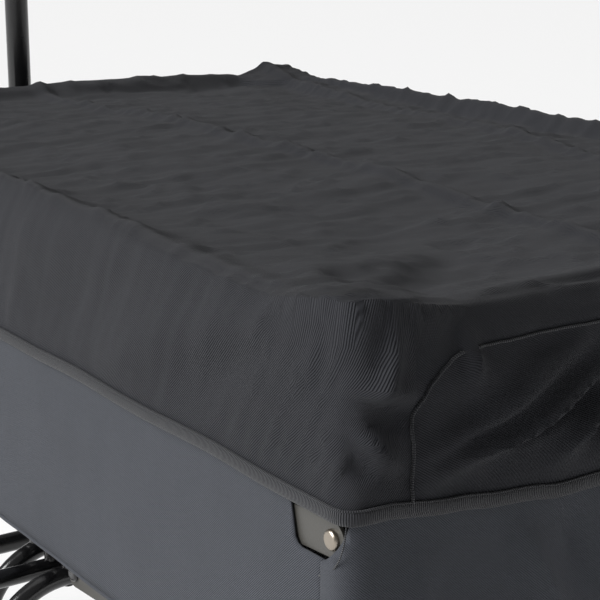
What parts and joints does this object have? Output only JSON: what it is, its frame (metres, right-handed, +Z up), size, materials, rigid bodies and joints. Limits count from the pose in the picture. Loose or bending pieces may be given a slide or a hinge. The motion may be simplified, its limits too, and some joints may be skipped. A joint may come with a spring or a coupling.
{
  "type": "folding beach cart",
  "caption": "Folding beach cart with a cloth tub, a fitted rain cover, scissor sides, a telescoping pull handle, fixed rear wheels and swivelling front casters.",
  "frame": {"origin": "on the ground, midway between the front and rear extremes and between the sides", "axes": "+X towards the pull handle, +Y to the left side, +Z up"},
  "size_m": [1.11, 0.672, 1.028],
  "materials": {
    "black_tube": "gloss black powder coat",
    "grey_steel": "satin grey coated pressed steel",
    "rivet_steel": "plated, domed",
    "axle_steel": "zinc plated",
    "cover_cloth": "charcoal twill",
    "cover_binding": "ribbed elastic binding",
    "tub_cloth": "grey twill",
    "liner_cloth": "coated cloth",
    "mat_cloth": "quilted cloth",
    "black_plastic": "moulded, fine grain",
    "wheel_plastic": "moulded grey",
    "button_plastic": "gloss",
    "grip_rubber": "soft rubber",
    "tyre": "treaded rubber"
  },
  "bodies": {
    "rear_frame": {"rear_posts": "black_tube", "rear_top_tube": "black_tube", "rear_lower_tube": "black_tube", "rear_post_caps": "black_plastic", "rear_axle": "axle_steel", "rear_axle_brackets": "black_tube", "rear_corner_rivets": "rivet_steel", "tub_end_rear": "tub_cloth", "tub_side_left": "tub_cloth", "tub_side_right": "tub_cloth", "tub_liner": "liner_cloth", "floor_mat": "mat_cloth", "rim_rolls": "tub_cloth"},
    "rear_outer_arms": {"rear_outer_arms": "grey_steel", "rear_cross_rivets": "rivet_steel"},
    "rear_inner_arms": {"rear_inner_arms": "grey_steel"},
    "rear_sliders": {"rear_sliders": "black_plastic", "rear_slider_rivets": "rivet_steel"},
    "upper_hub": {"upper_hub_rails": "black_tube", "upper_hub_rivets": "rivet_steel"},
    "lower_hub": {"lower_hub_rails": "black_tube", "lower_hub_rivets": "black_tube", "cradle_hoops": "black_tube", "cradle_foot_bars": "black_tube", "cradle_cross_tube": "black_tube", "cradle_ties": "black_tube", "cradle_saddles": "black_tube"},
    "front_outer_arms": {"front_outer_arms": "grey_steel", "front_cross_rivets": "rivet_steel"},
    "front_inner_arms": {"front_inner_arms": "grey_steel"},
    "front_sliders": {"front_sliders": "black_plastic", "front_slider_rivets": "rivet_steel"},
    "front_frame": {"front_posts": "black_tube", "front_top_tube": "black_tube", "front_lower_tube": "black_tube", "front_post_caps": "black_plastic", "front_corner_rivets": "rivet_steel", "tub_end_front": "tub_cloth", "handle_bracket": "black_tube", "handle_pivot_bolt": "rivet_steel", "caster_bearings": "black_plastic"},
    "cover": {"cover_main_panel": "cover_cloth", "cover_end_rear": "cover_cloth", "cover_end_front": "cover_cloth", "cover_hem": "cover_binding"},
    "handle": {"handle_outer_tube": "black_tube", "handle_collar": "black_plastic"},
    "handle_button": {"handle_button": "button_plastic"},
    "handle_extension": {"handle_inner_tube": "black_tube", "handle_grip": "grip_rubber"},
    "rear_wheel_left": {"rear_tyre_left": "tyre", "rear_rim_left": "wheel_plastic"},
    "caster_left": {"caster_fork_left": "grey_steel"},
    "front_wheel_left": {"front_tyre_left": "tyre", "front_rim_left": "wheel_plastic"},
    "rear_wheel_right": {"rear_tyre_right": "tyre", "rear_rim_right": "wheel_plastic"},
    "caster_right": {"caster_fork_right": "grey_steel"},
    "front_wheel_right": {"front_tyre_right": "tyre", "front_rim_right": "wheel_plastic"}
  },
  "joints": [
    {"name": "fold", "type": "hinge", "parent": "rear_frame", "child": "rear_outer_arms", "pos_m": [-0.43, 0, 0.499], "axis": [0, -1, 0], "range_deg": [-52, 0], "deforming": ["tub_side_left", "tub_side_right", "tub_liner", "floor_mat", "rim_rolls", "cover_main_panel", "cover_end_front", "cover_end_rear", "cover_hem"]},
    {"name": "rear_cross", "type": "hinge", "parent": "rear_outer_arms", "child": "rear_inner_arms", "pos_m": [-0.275, 0, 0.432], "axis": [0, -1, 0], "range_deg": [0, 104]},
    {"name": "rear_slider_pivot", "type": "hinge", "parent": "rear_inner_arms", "child": "rear_sliders", "pos_m": [-0.43, 0, 0.365], "axis": [0, -1, 0], "range_deg": [-52, 0]},
    {"name": "upper_hub_pivot", "type": "hinge", "parent": "rear_inner_arms", "child": "upper_hub", "pos_m": [-0.12, 0, 0.499], "axis": [0, -1, 0], "range_deg": [-52, 0]},
    {"name": "lower_hub_pivot", "type": "hinge", "parent": "rear_outer_arms", "child": "lower_hub", "pos_m": [-0.12, 0, 0.365], "axis": [0, -1, 0], "range_deg": [0, 52]},
    {"name": "front_hub_pivot", "type": "hinge", "parent": "lower_hub", "child": "front_outer_arms", "pos_m": [0.12, 0, 0.365], "axis": [0, -1, 0], "range_deg": [0, 52]},
    {"name": "front_cross", "type": "hinge", "parent": "front_outer_arms", "child": "front_inner_arms", "pos_m": [0.275, 0, 0.432], "axis": [0, -1, 0], "range_deg": [-104, 0]},
    {"name": "front_slider_pivot", "type": "hinge", "parent": "front_inner_arms", "child": "front_sliders", "pos_m": [0.43, 0, 0.365], "axis": [0, -1, 0], "range_deg": [0, 52]},
    {"name": "front_corner_pivot", "type": "hinge", "parent": "front_outer_arms", "child": "front_frame", "pos_m": [0.43, 0, 0.499], "axis": [0, -1, 0], "range_deg": [-52, 0]},
    {"name": "cover_lift", "type": "slide", "parent": "rear_frame", "child": "cover", "axis": [0, 0, 1], "range_m": [0, 0.35]},
    {"name": "handle_tilt", "type": "hinge", "parent": "front_frame", "child": "handle", "pos_m": [0.54, 0, 0.148], "axis": [0, 1, 0], "range_deg": [0, 70]},
    {"name": "handle_telescope", "type": "slide", "parent": "handle", "child": "handle_extension", "axis": [0, 0, 1], "range_m": [0, 0.25]},
    {"name": "handle_button_press", "type": "slide", "parent": "handle", "child": "handle_button", "axis": [1, 0, 0], "range_m": [0, 0.003], "stiffness_N_per_m": 600},
    {"name": "rear_wheel_spin_left", "type": "hinge", "parent": "rear_frame", "child": "rear_wheel_left", "pos_m": [-0.455, 0.303, 0.1], "axis": [0, 1, 0], "continuous": true},
    {"name": "caster_swivel_left", "type": "hinge", "parent": "front_frame", "child": "caster_left", "pos_m": [0.43, 0.258, 0.126], "axis": [0, 0, 1], "continuous": true},
    {"name": "front_wheel_spin_left", "type": "hinge", "parent": "caster_left", "child": "front_wheel_left", "pos_m": [0.4, 0.258, 0.06], "axis": [0, 1, 0], "continuous": true},
    {"name": "rear_wheel_spin_right", "type": "hinge", "parent": "rear_frame", "child": "rear_wheel_right", "pos_m": [-0.455, -0.303, 0.1], "axis": [0, 1, 0], "continuous": true},
    {"name": "caster_swivel_right", "type": "hinge", "parent": "front_frame", "child": "caster_right", "pos_m": [0.43, -0.258, 0.126], "axis": [0, 0, 1], "continuous": true},
    {"name": "front_wheel_spin_right", "type": "hinge", "parent": "caster_right", "child": "front_wheel_right", "pos_m": [0.4, -0.258, 0.06], "axis": [0, 1, 0], "continuous": true}
  ],
  "couplings": [
    {"joint": "rear_cross", "follows": "fold", "ratio": -2},
    {"joint": "rear_slider_pivot", "follows": "fold", "ratio": 1},
    {"joint": "upper_hub_pivot", "follows": "fold", "ratio": 1},
    {"joint": "lower_hub_pivot", "follows": "fold", "ratio": -1},
    {"joint": "front_hub_pivot", "follows": "fold", "ratio": -1},
    {"joint": "front_cross", "follows": "fold", "ratio": 2},
    {"joint": "front_slider_pivot", "follows": "fold", "ratio": -1},
    {"joint": "front_corner_pivot", "follows": "fold", "ratio": 1}
  ]
}
